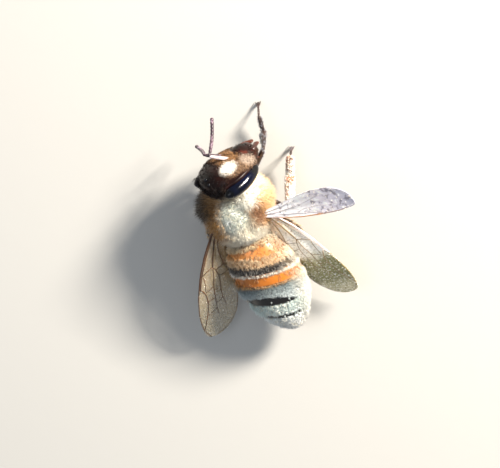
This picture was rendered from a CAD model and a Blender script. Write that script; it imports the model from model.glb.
from math import cos, pi, radians, sin

import bpy
import numpy as np
from mathutils import Matrix, Vector


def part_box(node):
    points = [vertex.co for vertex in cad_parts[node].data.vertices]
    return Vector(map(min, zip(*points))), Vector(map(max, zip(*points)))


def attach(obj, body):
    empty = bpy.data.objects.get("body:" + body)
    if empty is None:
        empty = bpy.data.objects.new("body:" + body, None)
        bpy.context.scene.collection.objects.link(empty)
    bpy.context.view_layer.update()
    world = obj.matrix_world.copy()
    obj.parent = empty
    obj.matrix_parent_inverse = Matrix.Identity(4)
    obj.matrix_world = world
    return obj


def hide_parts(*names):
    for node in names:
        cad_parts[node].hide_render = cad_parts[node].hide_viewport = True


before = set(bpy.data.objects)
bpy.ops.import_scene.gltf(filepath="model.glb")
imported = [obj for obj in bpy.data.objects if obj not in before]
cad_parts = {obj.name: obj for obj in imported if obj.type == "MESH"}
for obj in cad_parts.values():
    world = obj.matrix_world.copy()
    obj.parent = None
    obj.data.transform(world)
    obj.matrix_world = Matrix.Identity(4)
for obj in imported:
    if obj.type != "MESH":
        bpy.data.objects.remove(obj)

# A worker honey bee, life size. Shapes are worked out in millimetres on the bee's own axes:
# +X to the bee's left, -Y forward, +Z up. Each piece is scaled to metres when it is settled.
mm = 0.001
bpy.context.view_layer.update()


# Small helpers.

def linear(hexColour):
    parts = [int(hexColour[i:i + 2], 16) / 255 for i in (1, 3, 5)]
    return tuple(c / 12.92 if c <= 0.04045 else ((c + 0.055) / 1.055) ** 2.4 for c in parts) + (1.0,)


def addNode(made, kind, inputs=None, stops=(), **settings):
    # An input is a value, a colour such as "#FFFFFF", or another node's output.
    node = made.node_tree.nodes.new("ShaderNode" + kind)
    for name, value in settings.items():
        setattr(node, name, value)
    for socket, value in (inputs or {}).items():
        if isinstance(value, bpy.types.NodeSocket):
            made.node_tree.links.new(value, node.inputs[socket])
        else:
            node.inputs[socket].default_value = linear(value) if isinstance(value, str) else value
    for index, (place, hexColour) in enumerate(stops):
        stop = node.color_ramp.elements[index] if index < 2 else node.color_ramp.elements.new(place)
        stop.position, stop.color = place, linear(hexColour)
    return node


def newMaterial(name, **sockets):
    made = bpy.data.materials.new(name)
    made.use_nodes = True
    for socket, value in sockets.items():
        made.node_tree.nodes["Principled BSDF"].inputs[socket.replace("_", " ")].default_value = value
    return made


def feed(made, socket, source):
    made.node_tree.links.new(source, made.node_tree.nodes["Principled BSDF"].inputs[socket])


def deselectAll():
    bpy.ops.object.select_all(action="DESELECT")


def added(operator, **settings):
    deselectAll()
    operator(**settings)
    return bpy.context.active_object


def pointsOf(obj):
    points = np.empty(len(obj.data.vertices) * 3, np.float32)
    obj.data.vertices.foreach_get("co", points)
    return points.reshape(-1, 3).astype(float)


def placePoints(obj, points):
    obj.data.vertices.foreach_set("co", np.asarray(points, np.float32).ravel())
    obj.data.update()


def makeActive(obj):
    deselectAll()
    obj.select_set(True)
    bpy.context.view_layer.objects.active = obj


def editAll(obj, *steps):
    makeActive(obj)
    bpy.ops.object.mode_set(mode="EDIT")
    bpy.ops.mesh.select_all(action="SELECT")
    for step in steps:
        step()
    bpy.ops.object.mode_set(mode="OBJECT")


def faceOutwards(obj):
    editAll(obj, lambda: bpy.ops.mesh.normals_make_consistent(inside=False))


def applyModifier(obj, kind, **settings):
    makeActive(obj)
    modifier = obj.modifiers.new(kind.title(), kind)
    for name, value in settings.items():
        setattr(modifier, name, value)
    bpy.ops.object.modifier_apply(modifier=modifier.name)


def smoothen(obj, levels):
    if levels:
        applyModifier(obj, "SUBSURF", levels=levels, render_levels=levels)
    makeActive(obj)
    bpy.ops.object.shade_smooth()


def joined(name, parts):
    deselectAll()
    for part in parts:
        part.select_set(True)
    bpy.context.view_layer.objects.active = parts[0]
    bpy.ops.object.join()
    parts[0].name = parts[0].data.name = name
    return parts[0]


def inOrder(obj):
    # Edit mode numbers new points in no fixed order, and the coats need the same one in each run.
    points = pointsOf(obj)
    order = np.lexsort(points.round(4).T)
    rank = np.argsort(order)
    faces = [rank[list(polygon.vertices)].tolist() for polygon in obj.data.polygons]
    faces = sorted(face[face.index(min(face)):] + face[:face.index(min(face))] for face in faces)
    obj.data.clear_geometry()
    obj.data.from_pydata(points[order].tolist(), [], faces)
    obj.data.update()


def tube(name, rings, sides, levels=1, bend=None):
    # An n-gon is extruded once for each ring, then every loop is set in its place.
    obj = added(bpy.ops.mesh.primitive_circle_add, vertices=sides, radius=1, fill_type="NGON")
    obj.name = obj.data.name = name
    bpy.ops.object.mode_set(mode="EDIT")
    for _ in rings[1:]:
        bpy.ops.mesh.extrude_region_move(TRANSFORM_OT_translate={"value": (0, 0, 1)})
    bpy.ops.object.mode_set(mode="OBJECT")
    inOrder(obj)
    points = pointsOf(obj)
    level = np.rint(points[:, 2]).astype(int)
    centre, side, up = (np.array([ring[part] for ring in rings], float)[level] for part in range(3))
    placed = centre + side * points[:, :1] + up * points[:, 1:2]
    placePoints(obj, placed if bend is None else bend(level, points))
    faceOutwards(obj)
    smoothen(obj, levels)
    return obj


def sphere(segments, rings):
    obj = added(bpy.ops.mesh.primitive_uv_sphere_add, segments=segments, ring_count=rings, radius=1)
    inOrder(obj)
    return obj


def ovalRings(path, halves, depths, flat):
    # Oval rings along a path: the depths lie along flat, and the halves across it.
    rings = []
    for index, point in enumerate(path):
        along = (path[min(index + 1, len(path) - 1)] - path[max(index - 1, 0)]).normalized()
        side = along.cross(flat).normalized()
        rings.append((point, side * halves[index], side.cross(along) * depths[index]))
    return rings


def curved(start, end, bow, parts):
    # Points from start to end, bowed by a vector at the middle.
    return [start.lerp(end, part) + bow * sin(pi * part) for part in parts]


def push(obj, centre, radius, move):
    # Moves the points near a centre, with a soft falloff.
    points = pointsOf(obj)
    near = np.linalg.norm(points - np.array(centre), axis=1) / radius
    weight = np.where(near < 1, (1 - near ** 2) ** 2, 0)
    placePoints(obj, points + weight[:, None] * np.array(move))


def shapeForms(obj, place, turn, forms):
    # Presses each form into a piece: middle, reach, how far it moves the skin, and whether it is paired.
    for centre, radius, move, paired in forms:
        for side in (1, -1) if paired else (1,):
            flip = Vector((side, 1, 1))
            push(obj, place(Vector(centre) * flip), radius, turn @ (Vector(move) * flip))


def ringAt(rings, place):
    # The sizes at a place along a table of rings.
    rows = np.array(rings)
    return [np.interp(place, rows[:, 0], column) for column in rows.T[1:]]


def unit(vectors):
    return vectors / np.maximum(np.linalg.norm(vectors, axis=-1, keepdims=True), 1e-9)


def settle(obj, made, slotName, *nodes):
    # Millimetres to metres, then the piece takes its material, body, slot and nodes.
    obj.data.transform(obj.matrix_world)
    obj.matrix_world = Matrix.Identity(4)
    obj.data.transform(Matrix.Scale(mm, 4))
    obj.data.materials.clear()
    obj.data.materials.append(made)
    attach(obj, "root")
    if nodes:
        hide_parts(*nodes)
    return obj


def keepPlaces(obj, places, name="place"):
    # Where each point lies on its own region, which the markings read.
    attribute = obj.data.attributes.new(name, "FLOAT_VECTOR", "POINT")
    attribute.data.foreach_set("vector", np.asarray(places, np.float32).ravel())


# The bee's axes.

bee = dict(pitch=8.0, height=3.3, rearReach=1.62)
thoraxLow, thoraxHigh = (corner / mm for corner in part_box("thorax"))
beeTurn = Matrix.Rotation(radians(-bee["pitch"]), 3, "X")
beeOrigin = Vector(((thoraxLow.x + thoraxHigh.x) / 2, thoraxHigh.y - bee["rearReach"], bee["height"]))

sides = dict(left=1, right=-1)
headSettings = dict(roll=53.0, yaw=-7.0, scale=1.10, eyeMiddle=(0, -0.066, 0.242))
headTurn = (beeTurn @ Matrix.Rotation(radians(headSettings["roll"]), 3, "Y")
            @ Matrix.Rotation(radians(headSettings["yaw"]), 3, "Z"))
eyeCentres = {side: sum(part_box("eye_" + side), Vector()) / 2 / mm for side in sides}
headCentre = (eyeCentres["left"] + eyeCentres["right"]) / 2 - headTurn @ Vector(headSettings["eyeMiddle"])


def onBee(point):
    return beeOrigin + beeTurn @ Vector(point)


def onHead(point):
    return headCentre + headTurn @ (Vector(point) * headSettings["scale"])


def beePlaces(points):
    return (points - np.array(beeOrigin)) @ np.array(beeTurn)


def headPlaces(points):
    return (points - np.array(headCentre)) @ np.array(headTurn) / headSettings["scale"]


# Head.

headShape = dict(
    rings=((-1.90, 0.50, -0.66, 0.24), (-1.72, 0.74, -0.64, 0.38), (-1.35, 1.02, -0.56, 0.56),
           (-0.85, 1.36, -0.40, 0.76), (-0.30, 1.66, -0.22, 0.92), (0.30, 1.80, -0.08, 1.00),
           (0.85, 1.74, 0.00, 0.98), (1.30, 1.44, 0.05, 0.84), (1.62, 0.98, 0.08, 0.60),
           (1.78, 0.50, 0.08, 0.34)),               # height, half width, middle and half depth
    levels=17, sides=32, coat=0.09, socket=(0.28, -0.88, -0.35),
    swell=0.11, swellAt=1.02, swellReach=0.34,      # the rim round each eye
    forms=(((0, -1.05, -1.05), 0.75, (0, -0.16, 0), False),       # the clypeus stands proud
           ((0, -1.0, -0.30), 0.45, (0, -0.07, 0), False),        # ridge between the feelers
           ((0.28, -0.93, -0.35), 0.24, (0, 0.10, 0), True),      # feeler sockets
           ((0.62, -0.80, -1.25), 0.35, (0, 0.06, 0), True),      # grooves beside the clypeus
           ((0.55, 0.85, 0.2), 0.9, (0, -0.10, 0), True),         # hollow back of the head
           ((0, -0.15, 1.72), 0.5, (0, -0.03, 0.07), False)))     # the vertex, under the simple eyes
eyeShape = dict(radii=(0.60, 0.48, 1.40), lean=9.0, tilt=-11.0, back=0.16, bow=0.12, segments=64, rings=48)


def eyeFrame(sideName):
    # Axes, half sizes and middle of an eye.
    lean = Matrix.Rotation(radians(sides[sideName] * eyeShape["lean"]), 3, "Y")
    turned = np.array(headTurn @ lean @ Matrix.Rotation(radians(eyeShape["tilt"]), 3, "X"))
    middle = eyeCentres[sideName] + headTurn @ Vector((0, eyeShape["back"], 0))
    return turned, np.array(eyeShape["radii"]) * headSettings["scale"], np.array(middle)


def buildEye(sideName):
    # A long oval dome that bows a little to the back; its inner half lies inside the head.
    eye = sphere(eyeShape["segments"], eyeShape["rings"])
    eye.name = "compound_eye_" + sideName
    points = pointsOf(eye)
    points[:, 1] += eyeShape["bow"] * (1 - points[:, 2] ** 2)
    turned, radii, middle = eyeFrame(sideName)
    placePoints(eye, (points * radii) @ turned.T + middle)
    smoothen(eye, 0)
    return eye


def buildHead():
    rings = []
    scale, inset = headSettings["scale"], headShape["coat"]
    for height in np.linspace(headShape["rings"][0][0], headShape["rings"][-1][0], headShape["levels"]):
        half, middle, depth = ringAt(headShape["rings"], height)
        rings.append((onHead((0, middle, height)), headTurn @ Vector((half * scale - inset, 0, 0)),
                      headTurn @ Vector((0, depth * scale - inset, 0))))
    head = tube("head_capsule", rings, headShape["sides"], 2)
    shapeForms(head, onHead, headTurn, headShape["forms"])
    points = pointsOf(head)
    for sideName in sides:
        turned, radii, middle = eyeFrame(sideName)
        off = np.linalg.norm((points - middle) @ turned / radii, axis=1) - headShape["swellAt"]
        swell = headShape["swell"] * np.clip(1 - np.abs(off) / headShape["swellReach"], 0, 1) ** 1.5
        points += unit(points - np.array(headCentre)) * swell[:, None]
    placePoints(head, points)
    return head


head = buildHead()
print("head capsule shaped")

ocelliShape = dict(
    domes=(((0, -0.42, 1.62), 0.125), ((0.30, -0.20, 1.66), 0.115), ((-0.30, -0.20, 1.66), 0.115)),
    segments=20, rings=12)                          # place and radius of each


def buildOcelli():
    # Three simple eyes on the vertex, each a low dome.
    domes = []
    for place, size in ocelliShape["domes"]:
        dome = sphere(ocelliShape["segments"], ocelliShape["rings"])
        placePoints(dome, pointsOf(dome) * size + np.array(onHead(place)))
        smoothen(dome, 0)
        domes.append(dome)
    return joined("ocelli", domes)


feelerShape = dict(
    left=dict(elbow=(1.06, -1.25, 0.64), tip=(3.00, -0.97, -0.08)),
    right=dict(elbow=(0.06, -1.56, 0.91), tip=(1.05, -3.03, -0.55)),
    sunk=0.08, scapeBow=0.05, lashBow=-0.10, lashHalf=0.118, slim=(0.80, 0.20), joints=11, sides=16,
    scape=((0, 0.07), (0.06, 0.10), (0.10, 0.065), (0.16, 0.085), (0.3, 0.105), (0.55, 0.115), (0.8, 0.12),
           (0.93, 0.11), (1.0, 0.06)),              # part of its length and half width
    joint=((0.02, 0.74), (0.14, 0.98), (0.5, 1.0), (0.86, 1.02), (0.97, 0.78)),     # part and swell
    tip=dict(shrink=0.92, end=0.6))


def lashStops():
    # Parts and half widths down the lash: the first joints are slim, and the last one tapers off.
    count, tip, (slim, more) = feelerShape["joints"], feelerShape["tip"], feelerShape["slim"]
    parts, widths = [], []
    for joint in range(count):
        wide = feelerShape["lashHalf"] * (slim + more * min(joint / 2, 1))
        for within, swell in feelerShape["joint"]:
            parts.append((joint + within) / count)
            narrow = 1
            if joint == count - 1 and within > 0.5:
                narrow = tip["end"] if within > 0.9 else tip["shrink"]
            widths.append(wide * swell * narrow)
    return parts, widths


def buildFeeler(sideName):
    shape = feelerShape[sideName]
    x, y, z = headShape["socket"]
    start = onHead((sides[sideName] * x, y + feelerShape["sunk"], z))
    elbow, tip = onHead(shape["elbow"]), onHead(shape["tip"])
    flat = (elbow - start).cross(tip - elbow).normalized()
    feeler = []
    for name, low, high, bow, (parts, widths) in (
            ("scape_", start, elbow, feelerShape["scapeBow"], zip(*feelerShape["scape"])),
            ("flagellum_", elbow, tip, feelerShape["lashBow"], lashStops())):
        path = curved(low, high, (high - low).cross(flat).normalized() * bow, parts)
        feeler.append(tube(name + sideName, ovalRings(path, widths, widths, flat), feelerShape["sides"]))
    return feeler


faceWay = headTurn @ Vector((0, 1, 0))
jawShape = dict(
    base=(0.52, -0.80, -1.42), tip=(0.16, -0.90, -2.12), bow=(0.10, -0.03, 0), sides=16,
    stops=((0, 0.16, 0.14), (0.15, 0.20, 0.17), (0.4, 0.17, 0.13), (0.6, 0.15, 0.10), (0.8, 0.19, 0.10),
           (0.93, 0.20, 0.08), (1.0, 0.10, 0.04)))  # part of its length, half width and half depth


def buildJaw(sideName):
    # A mandible narrows in the middle and ends in a smooth spoon.
    flip = Vector((sides[sideName], 1, 1))
    base, tip = (onHead(Vector(jawShape[end]) * flip) for end in ("base", "tip"))
    parts, widths, depths = zip(*jawShape["stops"])
    path = curved(base, tip, headTurn @ (Vector(jawShape["bow"]) * flip), parts)
    return tube("jaw_" + sideName, ovalRings(path, widths, depths, faceWay), jawShape["sides"], 2)


tongueShape = dict(
    blades=(("galea_left", 0.11, 0.13), ("galea_right", -0.11, 0.13), ("glossa", 0, 0.07)),
    start=(-0.22, -1.25), end=(0.08, -2.04), gather=0.4, bow=-0.06, depth=0.09, sides=12,
    stops=((0, 0.8, 0.9), (0.2, 1.0, 1.0), (0.45, 0.95, 0.9), (0.7, 0.75, 0.7), (0.9, 0.5, 0.5),
           (1.0, 0.2, 0.3)))                        # part of its length, and swell each way


def buildTongue():
    # Two blades with the hairy tongue between them, folded back under the head. Each has a name, how far
    # aside it starts, and a half width.
    parts, wides, deeps = zip(*tongueShape["stops"])
    blades = []
    for name, x, width in tongueShape["blades"]:
        start = onHead((x, *tongueShape["start"]))
        end = onHead((x * tongueShape["gather"], *tongueShape["end"]))
        widths, depths = [width * swell for swell in wides], [tongueShape["depth"] * swell for swell in deeps]
        path = curved(start, end, faceWay * tongueShape["bow"], parts)
        blades.append(tube(name, ovalRings(path, widths, depths, faceWay), tongueShape["sides"], 1))
    return joined("tongue", blades)


labrumShape = dict(
    path=((0, -0.98, -1.42), (0, -1.02, -1.50), (0, -1.00, -1.66), (0, -0.94, -1.78)),
    widths=(0.30, 0.36, 0.33, 0.22), depths=(0.06, 0.09, 0.08, 0.04), sides=20)


def buildLabrum():
    path = [onHead(point) for point in labrumShape["path"]]
    rings = ovalRings(path, labrumShape["widths"], labrumShape["depths"], faceWay)
    return tube("labrum", rings, labrumShape["sides"], 2)


# Thorax.

thoraxShape = dict(
    rings=((-1.95, 0.55, 0.50, 0.45), (-1.72, 1.00, 0.85, 0.75), (-1.40, 1.58, 1.30, 1.15),
           (-1.00, 1.86, 1.52, 1.38), (-0.50, 1.93, 1.66, 1.48), (0.00, 1.90, 1.72, 1.52),
           (0.50, 1.78, 1.66, 1.48), (0.95, 1.52, 1.46, 1.28), (1.25, 1.15, 1.10, 0.90),
           (1.42, 0.75, 0.70, 0.50), (1.70, 0.42, 0.35, 0.35),
           (1.95, 0.40, 0.33, 0.33)),               # place, half width, rise and drop
    sides=40,
    forms=(((0, 0.85, 1.5), 0.55, (0, 0.05, 0.14), False),        # the scutellum
           ((0, 0.50, 1.7), 0.25, (0, 0, -0.10), False),          # its groove
           ((1.35, -0.35, 1.05), 0.5, (0.10, 0, 0.05), True),     # wing roots
           ((1.7, -0.1, -0.9), 0.7, (-0.12, 0, 0.05), True)))     # hollows over the legs


def buildThorax():
    rings = []
    for place, half, rise, drop in thoraxShape["rings"]:
        rings.append((onBee((0, place, (rise - drop) / 2)), beeTurn @ Vector((half, 0, 0)),
                      beeTurn @ Vector((0, 0, (rise + drop) / 2))))
    thorax = tube("thorax_shell", rings, thoraxShape["sides"], 2)
    shapeForms(thorax, onBee, beeTurn, thoraxShape["forms"])
    return thorax


tegulaShape = dict(place=(1.52, -0.62, 1.16), half=(0.20, 0.32, 0.13), open=-0.03, tilt=42,
                   segments=24, rings=16)


def buildTegulae():
    # Two shallow scales over the wing roots, open side down.
    caps = []
    for side in sides.values():
        cap = sphere(tegulaShape["segments"], tegulaShape["rings"])
        points = pointsOf(cap) * tegulaShape["half"]
        points[:, 2] = np.maximum(points[:, 2], tegulaShape["open"])
        tilt = np.array(beeTurn @ Matrix.Rotation(radians(side * tegulaShape["tilt"]), 3, "Y"))
        x, y, z = tegulaShape["place"]
        placePoints(cap, points @ tilt.T + np.array(onBee((side * x, y, z))))
        smoothen(cap, 0)
        caps.append(cap)
    return joined("tegulae", caps)


# Abdomen.

abdomenShape = dict(
    front=(0, 1.50, 0), yaw=3.5, curl=0.7, pitch=-1.0,
    rings=((-0.20, 0.55, 0.60, 0.30), (0.00, 1.12, 1.15, 0.65), (0.20, 1.55, 1.42, 1.10),
           (0.50, 1.82, 1.55, 1.42), (1.10, 2.04, 1.72, 1.72), (1.90, 2.15, 1.82, 1.88),
           (2.70, 2.16, 1.82, 1.92), (3.65, 2.06, 1.72, 1.84), (4.70, 1.82, 1.48, 1.62),
           (5.45, 1.50, 1.18, 1.32), (5.95, 1.20, 0.92, 1.06), (6.50, 0.75, 0.52, 0.66),
           (6.75, 0.42, 0.28, 0.38), (6.85, 0.16, 0.12, 0.18)),     # place, half width, rise and drop
    cuts=(-0.20, 0.35, 2.12, 2.92, 4.40, 5.50, 6.85), sides=48, coat=0.13,
    skew=0.46, skewFade=(0.2, 0.9, 5.4, 6.5), span=(-0.3, 6.9, 73), most=(0.6, 0.3), belly=(-0.42, 0.05),
    bellyInset=0.035)


def abdomenTurn(place):
    yaw = radians(abdomenShape["yaw"] + abdomenShape["curl"] * place)
    return Matrix.Rotation(yaw, 3, "Z") @ Matrix.Rotation(radians(abdomenShape["pitch"]), 3, "X")


def abdomenLine(place, steps=24):
    centre = Vector(abdomenShape["front"])
    for step in range(steps):
        centre += abdomenTurn(place * (step + 0.5) / steps) @ Vector((0, place / steps, 0))
    return centre


def abdomenSkew(place):
    # The plates sit a little askew: further back on the bee's right, except at both ends.
    return abdomenShape["skew"] * np.interp(place, abdomenShape["skewFade"], (0, 1, 1, 0))


def abdomenRing(place, inset):
    half, rise, drop = ringAt(abdomenShape["rings"], place)
    turn = abdomenTurn(place)
    centre = onBee(abdomenLine(place) + turn @ Vector((0, 0, (rise - drop) / 2)))
    across, upright = abdomenShape["most"]
    inset = min(inset, half * across, (rise + drop) * upright)      # the tip keeps some thickness
    return (centre, beeTurn @ turn @ Vector((half - inset, 0, 0)),
            beeTurn @ turn @ Vector((0, 0, (rise + drop) / 2 - inset)))


def abdomenPlaces(points):
    # Sideways to the bee's right and up, as parts of the abdomen's size there, with the distance along it.
    local = beePlaces(points)
    stations = np.linspace(*abdomenShape["span"])
    line = np.array([abdomenLine(place) for place in stations])
    turns = np.array([abdomenTurn(place) for place in stations])
    along = np.einsum("nsk,sk->ns", local[:, None, :] - line[None], turns[:, :, 1])
    nearest = np.abs(along).argmin(axis=1)
    place = stations[nearest] + along[np.arange(len(local)), nearest]
    half, rise, drop = ringAt(abdomenShape["rings"], place)
    off = np.einsum("nk,nkj->nj", local - line[nearest], turns[nearest])
    sideways = -off[:, 0] / half
    up = (off[:, 2] - (rise - drop) / 2) / ((rise + drop) / 2)
    return np.stack([sideways, place - abdomenSkew(place) * sideways, up], axis=1)


# How each plate lies: tucked under the one in front, then swelling to a rolled rim at its rear edge.
# Each stop is a distance from the plate's front or rear cut, and a depth under the coat's tips. The first
# plate starts with the waist's own stops, and the last ends with the tip's.
plateShape = dict(
    tuck=((-0.24, 0.24), (-0.05, 0.20), (0.06, 0.175)), span=(0.22, 0.16), step=0.28, rise=0.03,
    rim=((-0.06, 0.115), (0.0, 0.118), (0.035, 0.142), (0.02, 0.19), (-0.14, 0.25)),
    waist=((-0.20, 0), (-0.10, 0.10), (0.0, 0.13)), tip=((6.62, 0.13), (6.76, 0.13), (6.82, 0.13)))


def plateStops(number):
    start, end = abdomenShape["cuts"][number - 1:number + 1]
    inner = np.linspace(start + plateShape["span"][0], end - plateShape["span"][1],
                        max(2, round((end - start) / plateShape["step"])))
    middle = [(place, abdomenShape["coat"] + plateShape["rise"] - plateShape["rise"] * index / len(inner))
              for index, place in enumerate(inner)]
    front, rear = plateShape["waist"], plateShape["tip"]
    if number > 1:
        front = [(start + place, depth) for place, depth in plateShape["tuck"]]
    if number < len(abdomenShape["cuts"]) - 1:
        rear = [(end + place, depth) for place, depth in plateShape["rim"]]
    return [*front, *middle, *rear]


def buildSegment(number):
    stops = plateStops(number)

    def skewed(levels, circle):
        placed = []
        for level, (x, y, _) in zip(levels, circle):
            place, inset = stops[level]
            centre, side, up = abdomenRing(place - abdomenSkew(place) * x, inset)
            placed.append(centre + side * x + up * y)
        return placed

    rings = [abdomenRing(place, inset) for place, inset in stops]
    plate = tube("abdomen_plate_%d" % number, rings, abdomenShape["sides"], 1, skewed)
    points = pointsOf(plate)
    found = abdomenPlaces(points)
    low, soft = abdomenShape["belly"]
    under = np.clip((low - found[:, 2]) / soft, 0, 1)       # belly plates sit further in
    middle = np.array([list(onBee(abdomenLine(place))) for place in found[:, 1]])
    placePoints(plate, points - (points - middle) * abdomenShape["bellyInset"] * under[:, None])
    return plate


# Wings.

plainWing = dict(root=(1.35, -0.35, 1.10), lead=1.00, trail=1.75, sweep=24.0, lift=-13.6, roll=30.0,
                 behind=0.0, below=0.0, full=0.6, twist=0.0, pleat=0.025)
wings = dict(
    forewing_left=dict(plainWing, side=1, length=8.8),
    forewing_right=dict(plainWing, side=-1, length=8.8, lead=1.15, sweep=23.0, full=0.42, twist=-0.36,
                        pleat=0.045),
    hindwing_left=dict(plainWing, side=1, length=5.9, lead=0.45, trail=1.35, behind=0.50, below=0.55),
    hindwing_right=dict(plainWing, side=-1, root=(1.25, -0.02, 1.14), length=6.5, lead=0.45, trail=1.35,
                        sweep=85.0, lift=18.0, roll=190.0, twist=-0.3, pleat=0.035))
bladeShape = dict(rootWidth=0.16, leadRise=0.9, trailRise=1.5, trailFall=0.5, camber=0.10, twistUntil=0.65,
                  pleatWave=(21, 3), ripple=0.012, rippleWave=(9, 34), across=22, along=64, thickness=0.022)


def riseAndFall(part, rise, fall):
    peak = rise / (rise + fall)
    part = np.clip(part, 0, 1)
    return part ** rise * (1 - part) ** fall / (peak ** rise * (1 - peak) ** fall)


def wingAxes(wing):
    sweep, rise, roll = (radians(wing[key]) for key in ("sweep", "lift", "roll"))
    span = Vector((sin(sweep) * cos(rise), cos(sweep) * cos(rise), sin(rise)))
    ahead = Vector((cos(sweep), -sin(sweep), 0))
    chord = ahead * cos(roll) + ahead.cross(span) * sin(roll)
    normal = chord.cross(span)
    root = Vector(wing["root"]) - chord * wing["behind"] - normal * wing["below"]
    return [np.array(axis) for axis in (root, span, chord, normal)]


def wingEdges(wing, part):
    # How far the blade reaches ahead of its line and behind it.
    narrow = bladeShape["rootWidth"] * (1 - part)
    return (wing["lead"] * riseAndFall(part, bladeShape["leadRise"], wing["full"]) + narrow,
            wing["trail"] * riseAndFall(part, bladeShape["trailRise"], bladeShape["trailFall"]) + narrow)


def wave(across, part, counts):
    return np.sin(across * counts[0] + part * counts[1])


def wingPoint(wing, part, across):
    # A point of the blade: part runs from root to tip, across from trailing to leading edge. It is cambered,
    # twisted and pleated at its root, and rippled all over.
    part, across = np.asarray(part, float), np.asarray(across, float)
    root, span, chord, normal = wingAxes(wing)
    lead, trail = wingEdges(wing, part)
    place = -trail + (lead + trail) * across
    height = bladeShape["camber"] * np.sin(pi * across) * np.sin(pi * np.clip(part, 0, 1))
    height = height + place * wing["twist"] * np.clip(1 - part / bladeShape["twistUntil"], 0, 1)
    ripple = wing["pleat"] * wave(across, part, bladeShape["pleatWave"]) * (1 - part)
    ripple = ripple + bladeShape["ripple"] * wave(across, part, bladeShape["rippleWave"])
    points = (root + part[..., None] * wing["length"] * span + place[..., None] * chord
              + (height + ripple)[..., None] * normal)
    return points * (wing["side"], 1, 1) @ np.array(beeTurn).T + np.array(beeOrigin)


def wingPlaces(name):
    # The same way back, from points to parts of the blade.
    wing = wings[name]
    root, span, chord, _ = wingAxes(wing)

    def places(points):
        local = beePlaces(points) * (wing["side"], 1, 1) - root
        part = local @ span / wing["length"]
        lead, trail = wingEdges(wing, np.clip(part, 0.001, 0.999))
        return np.stack([part, (local @ chord + trail) / (lead + trail), part * 0], axis=1)
    return places


def buildBlade(name):
    blade = added(bpy.ops.mesh.primitive_grid_add, x_subdivisions=bladeShape["along"],
                  y_subdivisions=bladeShape["across"], size=2)
    blade.name = blade.data.name = name + "_membrane"
    points = pointsOf(blade)
    part = 0.5 - 0.5 * np.cos(pi * (points[:, 0] + 1) / 2)      # closer rows near root and tip
    part = 0.002 + part * 0.996
    across = (points[:, 1] + 1) / 2
    placePoints(blade, wingPoint(wings[name], part, across))
    keepPlaces(blade, np.stack([part, across, part * 0], axis=1))
    faceOutwards(blade)
    applyModifier(blade, "SOLIDIFY", thickness=bladeShape["thickness"], offset=0)
    smoothen(blade, 0)
    return blade


# Veins as stops (part of the length, part of the way across), with a half width in millimetres.
foreVeins = (
    (0.060, ((0.0, 0.80), (0.10, 0.95), (0.30, 0.985), (0.50, 0.985), (0.60, 0.985))),    # leading edge
    (0.046, ((0.0, 0.62), (0.12, 0.84), (0.30, 0.925), (0.45, 0.945), (0.56, 0.955))),    # beside it
    (0.042, ((0.60, 0.985), (0.75, 0.985), (0.90, 0.975), (0.97, 0.93), (0.995, 0.7))),   # round the tip
    (0.050, ((0.55, 0.955), (0.575, 0.84), (0.64, 0.765), (0.72, 0.755), (0.82, 0.80), (0.90, 0.88),
             (0.93, 0.97))),
    (0.050, ((0.0, 0.50), (0.12, 0.60), (0.25, 0.635), (0.37, 0.63))),                    # middle stem
    (0.042, ((0.37, 0.63), (0.39, 0.76), (0.435, 0.93))),                                 # basal vein
    (0.036, ((0.445, 0.90), (0.50, 0.83), (0.575, 0.82))),
    (0.036, ((0.37, 0.63), (0.45, 0.60), (0.54, 0.615), (0.64, 0.585), (0.74, 0.545), (0.80, 0.50))),
    (0.034, ((0.54, 0.615), (0.565, 0.70), (0.585, 0.81))),
    (0.034, ((0.645, 0.585), (0.655, 0.67), (0.675, 0.76))),
    (0.034, ((0.74, 0.545), (0.765, 0.64), (0.80, 0.785))),
    (0.038, ((0.37, 0.62), (0.40, 0.53), (0.455, 0.43), (0.56, 0.43), (0.655, 0.40), (0.74, 0.30))),
    (0.032, ((0.555, 0.43), (0.575, 0.52), (0.58, 0.605))),
    (0.032, ((0.655, 0.40), (0.685, 0.47), (0.69, 0.565))),
    (0.038, ((0.0, 0.36), (0.12, 0.40), (0.25, 0.36), (0.36, 0.24), (0.43, 0.12))),
    (0.032, ((0.36, 0.25), (0.385, 0.40), (0.40, 0.53))),
    (0.030, ((0.455, 0.43), (0.45, 0.28), (0.43, 0.12))),
    (0.026, ((0.02, 0.06), (0.15, 0.02), (0.30, 0.012), (0.50, 0.012), (0.70, 0.015), (0.90, 0.03),
             (0.985, 0.2))),                                                              # trailing edge
)
hindVeins = (
    (0.052, ((0.0, 0.80), (0.15, 0.96), (0.40, 0.98), (0.62, 0.98))),
    (0.030, ((0.62, 0.98), (0.85, 0.97), (0.97, 0.90))),
    (0.042, ((0.0, 0.60), (0.20, 0.74), (0.40, 0.80), (0.58, 0.90), (0.64, 0.97))),
    (0.034, ((0.40, 0.80), (0.43, 0.68), (0.60, 0.66), (0.82, 0.70))),
    (0.036, ((0.0, 0.48), (0.20, 0.52), (0.34, 0.50), (0.50, 0.42), (0.66, 0.26))),
    (0.030, ((0.34, 0.50), (0.38, 0.62), (0.43, 0.70))),
    (0.030, ((0.0, 0.30), (0.20, 0.28), (0.36, 0.14))),
    (0.022, ((0.03, 0.05), (0.20, 0.015), (0.50, 0.012), (0.80, 0.02), (0.96, 0.15))),
)
veinShape = dict(aspect=3, steps=12, least=6, taper=0.45, sides=6)


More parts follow.
